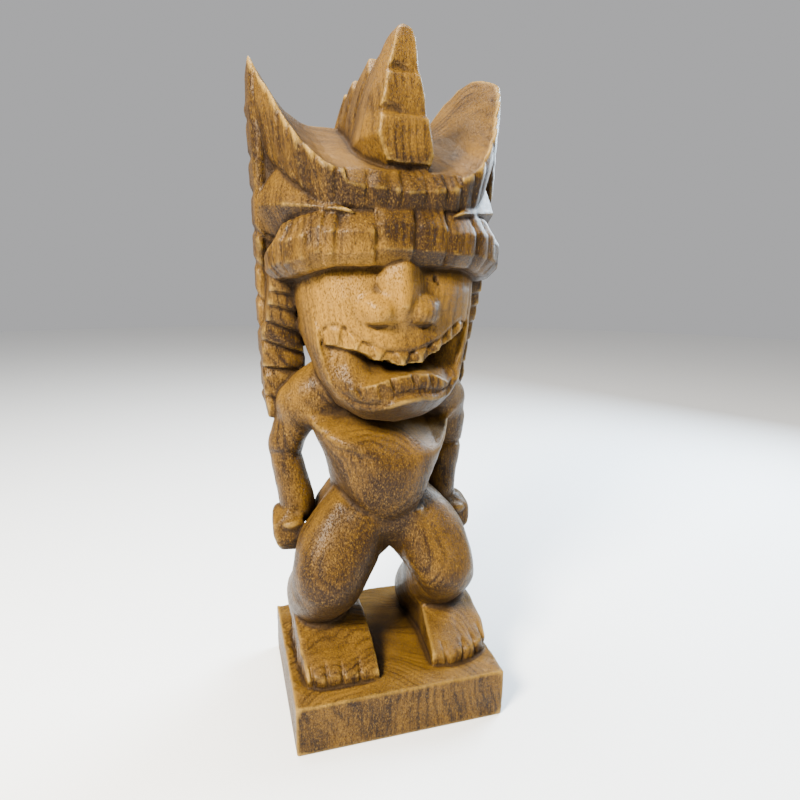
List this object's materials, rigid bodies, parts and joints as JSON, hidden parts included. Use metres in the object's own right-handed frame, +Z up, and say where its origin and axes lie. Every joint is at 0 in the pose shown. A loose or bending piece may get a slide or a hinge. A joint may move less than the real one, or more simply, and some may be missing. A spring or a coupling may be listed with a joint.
{
  "type": "tiki statue",
  "caption": "Carved wooden tiki figure with a wide toothed grin, a horned headdress, a crest and long side locks, standing with bent knees on the plinth it is carved from.",
  "frame": {"origin": "middle of the plinth's underside, on the floor", "axes": "+Z up the figure, front and face towards -Y, the figure's right arm at -X"},
  "size_m": [0.192, 0.1445, 0.508],
  "materials": {
    "wood": "satin, oiled golden brown with dark recesses"
  },
  "bodies": {
    "root": {"tiki_statue": "wood"}
  },
  "joints": []
}
